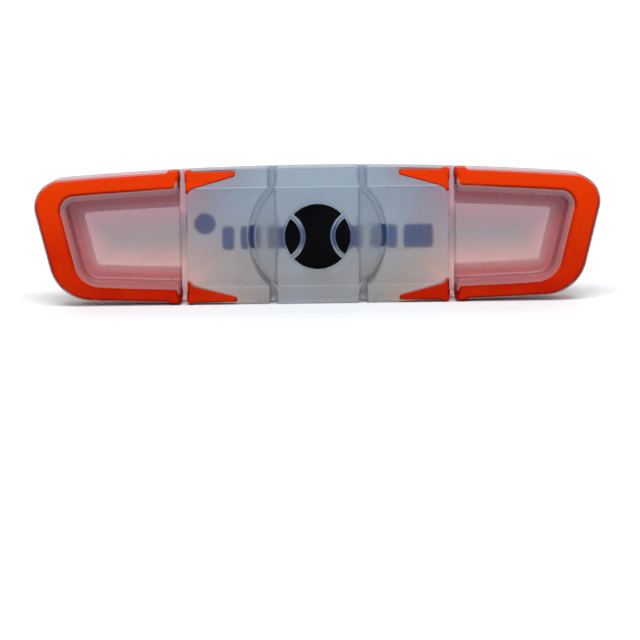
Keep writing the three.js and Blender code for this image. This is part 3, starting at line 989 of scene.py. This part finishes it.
def glow_layers(points, strip, inserts):
    """Nearness to the orange pieces, and share of the space under the flange, at each point."""
    x, y, z = points.T
    x = np.abs(x)
    nearest = end_frame_field(1, strip, inserts)(x, y, z)
    glow = np.exp(-np.maximum(nearest, 0) / GLOW_RANGE)
    for edge in EDGES.values():
        beside_fin = np.maximum(fin_field(1, edge, strip, inserts)(x, y, z), 0)
        glow = np.maximum(glow, FIN_GLOW * np.exp(-beside_fin / (FIN_GLOW * GLOW_RANGE)))
    soft = 2 * strip.small_round
    past_seat = x - INNER_GROOVE + GROOVE_HALF + soft
    within = strip.disc_radius - np.hypot(x, z)
    height = np.minimum(-y - GROOVE_FLOOR, strip.flange_under + y) + soft
    inner = np.minimum(np.minimum(past_seat, within), height) / soft
    return {GLOW_LAYER: glow, INNER_LAYER: np.clip(inner, 0, 1)}


def orange_layers(mesh, floor, strip, inserts, flange):
    """How deep each point is sunk, under the floor or along the flange, and how far a bead has fallen, which
    sets a painted shade on shoulders that don't face up.
    """
    x, y, z = mesh_points(mesh).T
    sunk = SUNK * (-y < floor + strip.small_round)
    if flange:
        outline, _ = strip_fields(strip)
        past_bead = -outline.frame_inside(np.abs(x), z, inserts, 0.0)
        under = -y < floor + inserts.flange_thickness + strip.small_round
        sunk = np.maximum(np.clip(past_bead / inserts.flange_reach, 0, 1) * under, sunk)
    fallen = -bead_face(z, -y, inserts) / SHOULDER_FALL
    normals = np.empty(3 * len(mesh.vertices))
    mesh.vertex_normals.foreach_get("vector", normals)
    up = np.clip(normals[2::3] / SHOULDER_TURN, 0, 1)
    return {DEPTH_LAYER: sunk, SHOULDER_SHADE_LAYER: np.clip(fallen, 0, 1) * (1 - up)}


def node_lines(node, cell, margin):
    """Grid lines over a frame node's box with a margin round it."""
    low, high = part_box(node)
    return [grid_line(low[axis] - margin, high[axis] + margin, cell) for axis in range(3)]


def add_orange(scene, node, field, cell, floor, flange):
    """Skins one orange piece, with its layers, in place of its node."""
    cell = cell_size(cell)
    mesh = skin(f"orange_{node}", field, node_lines(node, cell, 3 * cell + TAB_MARGIN), cell)
    add_layers(mesh, orange_layers(mesh, floor, scene.dampener_strip, scene.dampener_inserts, flange))
    material = bpy.data.materials.get("Orange Silicone") or orange_material(scene.dampener_colours)
    add_piece(mesh, material, "orange_silicone", node)


# ------------------------------------------------------------------ operators


class DAMPENER_OT_body(bpy.types.Operator):
    """Moulds the milky strip with its grooves, windows, centre plate and dish"""

    bl_idname = "dampener.body"
    bl_label = "Milky Body"

    def execute(self, context):
        scene = context.scene
        strip = scene.dampener_strip
        field = body_field(strip, scene.dampener_inserts, scene.dampener_emblem)
        cell = cell_size(BODY_CELL)
        fine = cell_size(DISH_CELL)
        margin = 3 * cell
        low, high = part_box("body")
        fine_half = strip.dish_radius
        lines = [
            grid_line(low[0] - margin, high[0] + margin, cell, fine_half, fine),
            grid_line(low[1] - margin, high[1] + margin, cell_size(BODY_DEPTH_CELL)),
            grid_line(low[2] - margin, high[2] + margin, cell, fine_half, fine),
        ]
        mesh = skin("dampener_body", field, lines, cell)
        add_layers(mesh, glow_layers(mesh_points(mesh), strip, scene.dampener_inserts))
        material = milky_material(scene.dampener_colours, strip.flat_half)
        add_piece(mesh, material, "milky_silicone", "body")
        return {"FINISHED"}


class DAMPENER_OT_end_frames(bpy.types.Operator):
    """Moulds the two orange end frames"""

    bl_idname = "dampener.end_frames"
    bl_label = "End Frames"

    def execute(self, context):
        scene = context.scene
        for name, side in SIDES.items():
            field = end_frame_field(side, scene.dampener_strip, scene.dampener_inserts)
            add_orange(scene, f"end_frame_{name}", field, FRAME_CELL, ORANGE_FLOOR, True)
        return {"FINISHED"}


class DAMPENER_OT_fins(bpy.types.Operator):
    """Moulds the four orange fins beside the outer grooves"""

    bl_idname = "dampener.fins"
    bl_label = "Fins"

    def execute(self, context):
        scene = context.scene
        for side_name, side in SIDES.items():
            for edge_name, edge in EDGES.items():
                field = fin_field(side, edge, scene.dampener_strip, scene.dampener_inserts)
                add_orange(scene, f"fin_{edge_name}_{side_name}", field, FIN_CELL, FIN_FLOOR, False)
        return {"FINISHED"}


class DAMPENER_OT_emblem(bpy.types.Operator):
    """Moulds the three black pieces of the ball emblem"""

    bl_idname = "dampener.emblem"
    bl_label = "Ball Emblem"

    def execute(self, context):
        scene = context.scene
        emblem = scene.dampener_emblem
        material = black_material(scene.dampener_colours)
        for name in ("left", "middle", "right"):

            def field(x, y, z, piece=name):
                flat = emblem_flat(x, z, emblem, piece)
                return slab(flat, -y, DISH_FLOOR - emblem.root, EMBLEM_TOP, emblem.edge_round)

            node = f"emblem_{name}"
            cell = cell_size(EMBLEM_CELL)
            mesh = skin(f"black_{node}", field, node_lines(node, cell, 4 * cell), cell)
            add_piece(mesh, material, "black_silicone", node)
        return {"FINISHED"}


class DAMPENER_OT_back_marks(bpy.types.Operator):
    """Inlays the row of bars and its dot in the back face"""

    bl_idname = "dampener.back_marks"
    bl_label = "Back Marks"

    def execute(self, context):
        scene = context.scene
        emblem = scene.dampener_emblem
        material = ink_material(scene.dampener_colours)
        nodes = sorted(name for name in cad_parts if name.startswith("back_mark"))
        for node in nodes:
            low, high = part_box(node)
            round_mark = node.endswith("dot")
            radius = (high[0] - low[0]) / 2 if round_mark else emblem.mark_corner

            def field(x, y, z, low=low, high=high, radius=radius):
                flat = box_flat(x, z, low[0], high[0], low[2], high[2], radius)
                return slab(flat, -y, BACK - PROUD, -low[1], emblem.mark_round)

            cell = cell_size(MARK_CELL)
            mesh = skin(f"inlaid_{node}", field, node_lines(node, cell, 4 * cell), cell)
            buried = -mesh_points(mesh)[:, 1] > BACK + emblem.mark_round
            add_layers(mesh, {DEPTH_LAYER: SUNK * buried})
            add_piece(mesh, material, "blue_black_silicone", node)
        return {"FINISHED"}


class DAMPENER_OT_stage(bpy.types.Operator):
    """Builds the floor, the lights and the camera"""

    bl_idname = "dampener.stage"
    bl_label = "Studio Stage"

    def execute(self, context):
        scene = context.scene
        build_sweep(scene)
        build_lights(scene)
        build_camera(scene)
        scene.view_settings.view_transform = "Standard"
        return {"FINISHED"}


# ------------------------------------------------------------------ stage


PAPER = (0.93, 0.93, 0.93, 1)
PAPER_TINT = (0.95, 0.95, 0.95, 1)
BEND_STEPS = 24
# Name, place, target, size, power and colour of each lamp.
LAMPS = (
    ("high_softbox", (0.0, -0.30, 0.56), (0, 0, 0), (0.5, 0.35), 3.9, (0.94, 0.97, 1.0)),
    ("edge_strip", (0.0, -0.60, 0.27), (0, 0, 0), (0.7, 0.07), 1.0, (0.95, 0.97, 1.0)),
    ("backdrop_wash", (0.0, 0.20, 0.45), (0, 0.50, 0.20), (0.9, 0.1), 0.8, (1.0, 1.0, 1.0)),
)
SURROUND = (0.95, 0.965, 1.0, 1)
SURROUND_STRENGTH = 0.22
# The strip fills this share of the view, and the shift lifts it into the upper part.
VIEW_SHARE = 0.884375
VIEW_SHIFT = (0.0035, -0.1305)
VIEW_ELEVATION = math.radians(7.0)
VIEW_ROLL = math.radians(-0.75)


def build_sweep(scene):
    """Pale seamless sweep: a floor that curves up into a backdrop."""
    width, front, back, bend, height = 2.4, -0.9, 0.42, 0.25, 0.9
    floor = cad_box[0][2]
    profile = [(front, 0.0), (0.0, 0.0), (back - bend, 0.0)]
    for step in range(1, BEND_STEPS + 1):
        turn = math.pi / 2 * step / BEND_STEPS
        profile.append((back - bend + bend * math.sin(turn), bend - bend * math.cos(turn)))
    profile.append((back, height))
    verts = [(x, y, floor + z) for x in (-width / 2, width / 2) for y, z in profile]
    count = len(profile)
    faces = [(i, i + count, i + count + 1, i + 1) for i in range(count - 1)]
    mesh = bpy.data.meshes.new("studio_sweep")
    mesh.from_pydata(verts, [], faces)
    mesh.polygons.foreach_set("use_smooth", np.ones(len(mesh.polygons), dtype=bool))
    sweep = bpy.data.objects.new("studio_sweep", mesh)
    scene.collection.objects.link(sweep)
    material, tree, shader = new_material("Studio Paper")
    clouds = place_group(tree, "Pour Clouds", Scale=3.0, Base=PAPER, Tint=PAPER_TINT)
    feed(tree, shader["Base Color"], clouds["Color"])
    finish(shader, Roughness=0.9)
    mesh.materials.append(material)


def add_area(scene, name, place, target, size, power, colour):
    """Soft square lamp that faces a target."""
    lamp = bpy.data.lights.new(name, "AREA")
    lamp.shape = "RECTANGLE"
    lamp.size, lamp.size_y = size
    lamp.energy = power
    lamp.color = colour
    holder = bpy.data.objects.new(name, lamp)
    holder.location = place
    holder.rotation_euler = (Vector(target) - Vector(place)).to_track_quat("-Z", "Y").to_euler()
    scene.collection.objects.link(holder)


def build_lights(scene):
    """Cool softbox high in front, a thin strip that picks out the edges, a backdrop wash and a surround."""
    for lamp in LAMPS:
        add_area(scene, *lamp)
    world = bpy.data.worlds.new("pale_surround")
    world.use_nodes = True
    finish(world.node_tree.nodes["Background"].inputs, Color=SURROUND, Strength=SURROUND_STRENGTH)
    scene.world = world


def build_camera(scene):
    """Long lens, a little above the strip, with the strip in the upper part of the view."""
    lens = 100 * MM
    sensor = 36 * MM
    distance = STRIP_LENGTH / VIEW_SHARE * lens / sensor
    camera = bpy.data.cameras.new("product_camera")
    camera.lens = lens / MM
    camera.sensor_width = sensor / MM
    camera.shift_x, camera.shift_y = VIEW_SHIFT
    camera.clip_start = 0.01
    holder = bpy.data.objects.new("product_camera", camera)
    middle = Vector((0, -FRONT, 0))
    holder.location = middle + distance * Vector((0, -math.cos(VIEW_ELEVATION), math.sin(VIEW_ELEVATION)))
    turn = Euler((math.pi / 2 - VIEW_ELEVATION, 0, 0)).to_matrix()
    roll = Euler((0, 0, VIEW_ROLL)).to_matrix()
    holder.rotation_euler = (turn @ roll).to_euler()
    scene.collection.objects.link(holder)
    scene.camera = holder


# ------------------------------------------------------------------ panel and registration


class DAMPENER_PT_sidebar(bpy.types.Panel):
    """Steps that build the dampener, in order"""

    bl_idname = "DAMPENER_PT_sidebar"
    bl_label = "Vibration Dampener"
    bl_space_type = "VIEW_3D"
    bl_region_type = "UI"
    bl_category = "Dampener"

    def draw(self, context):
        for operator in OPERATORS:
            self.layout.operator(operator.bl_idname)


OPERATORS = (
    DAMPENER_OT_body,
    DAMPENER_OT_end_frames,
    DAMPENER_OT_fins,
    DAMPENER_OT_emblem,
    DAMPENER_OT_back_marks,
    DAMPENER_OT_stage,
)
SETTINGS = {
    "dampener_strip": StripSizes,
    "dampener_inserts": InsertSizes,
    "dampener_emblem": EmblemSizes,
    "dampener_colours": SiliconeColours,
}


def register():
    for group in SETTINGS.values():
        bpy.utils.register_class(group)
    for name, group in SETTINGS.items():
        setattr(bpy.types.Scene, name, PointerProperty(type=group))
    for cls in (*OPERATORS, DAMPENER_PT_sidebar):
        bpy.utils.register_class(cls)


def unregister():
    for cls in (DAMPENER_PT_sidebar, *reversed(OPERATORS)):
        bpy.utils.unregister_class(cls)
    for name, group in SETTINGS.items():
        delattr(bpy.types.Scene, name)
        bpy.utils.unregister_class(group)


def main():
    register()
    bpy.ops.dampener.body()
    bpy.ops.dampener.end_frames()
    bpy.ops.dampener.fins()
    bpy.ops.dampener.emblem()
    bpy.ops.dampener.back_marks()
    bpy.ops.dampener.stage()


if __name__ == "__main__":
    main()
